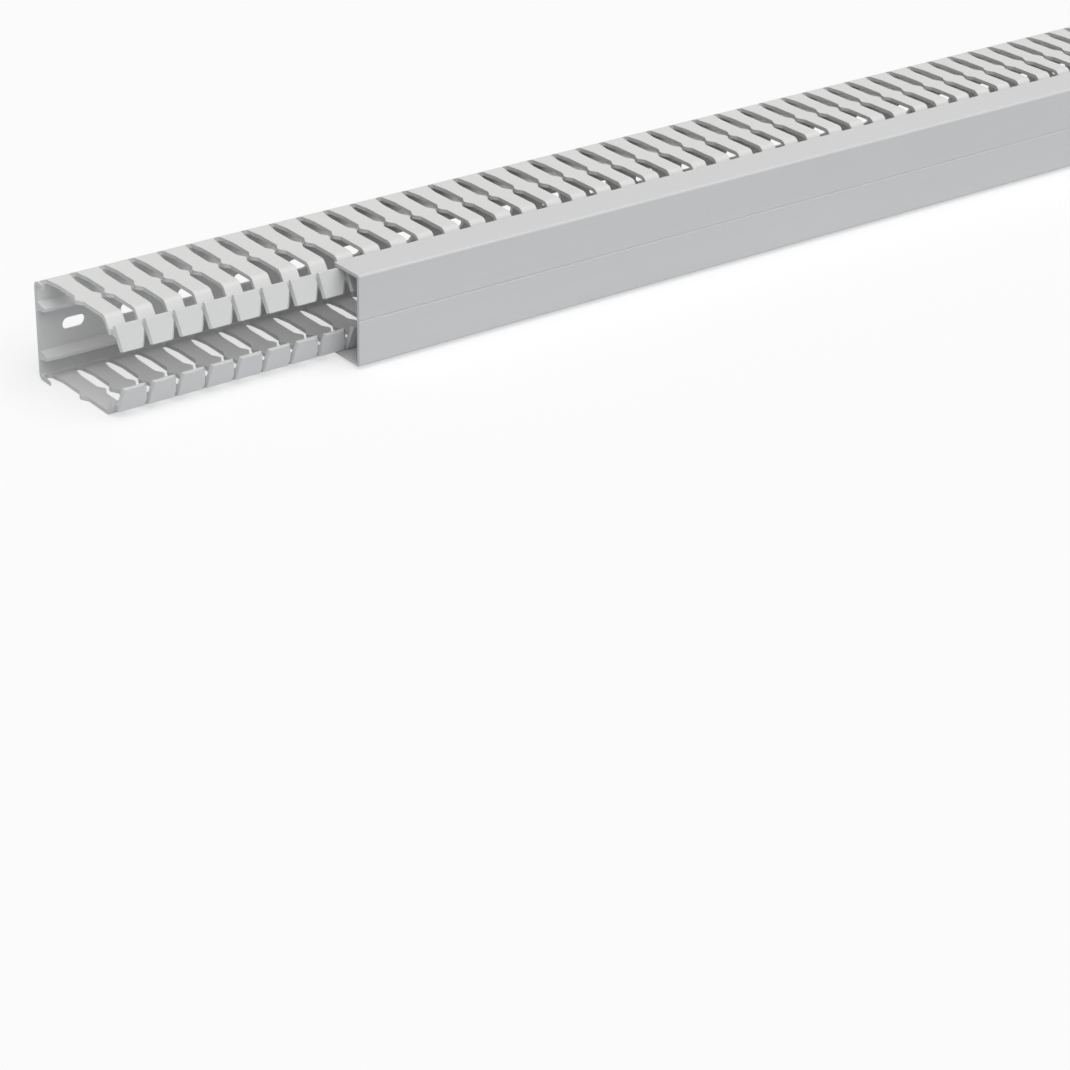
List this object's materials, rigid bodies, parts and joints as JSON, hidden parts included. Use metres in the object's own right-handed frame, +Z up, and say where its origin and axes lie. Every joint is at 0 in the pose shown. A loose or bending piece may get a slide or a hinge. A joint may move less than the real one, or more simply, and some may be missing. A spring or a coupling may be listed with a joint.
{
  "type": "slotted wire duct",
  "caption": "Straight slotted wiring duct with snap-in finger walls, oblong fixing holes in its base and a clip-on cover that slides along it.",
  "frame": {"origin": "middle of the part's footprint, on the surface it lies on", "axes": "+X along the duct from its uncovered end, +Y from the cover to the base, +Z up across the duct's width"},
  "size_m": [1.103, 0.062, 0.04],
  "materials": {
    "body_pvc": "light grey rigid PVC, matt, fine lines along the extrusion",
    "cover_pvc": "light grey rigid PVC, satin, a fine groove along the middle"
  },
  "bodies": {
    "duct": {"duct_body": "body_pvc"},
    "cover": {"cover": "cover_pvc"}
  },
  "joints": [
    {"name": "cover_slide", "type": "slide", "parent": "duct", "child": "cover", "axis": [1, 0, 0], "range_m": [-0.103, 0.797]}
  ]
}
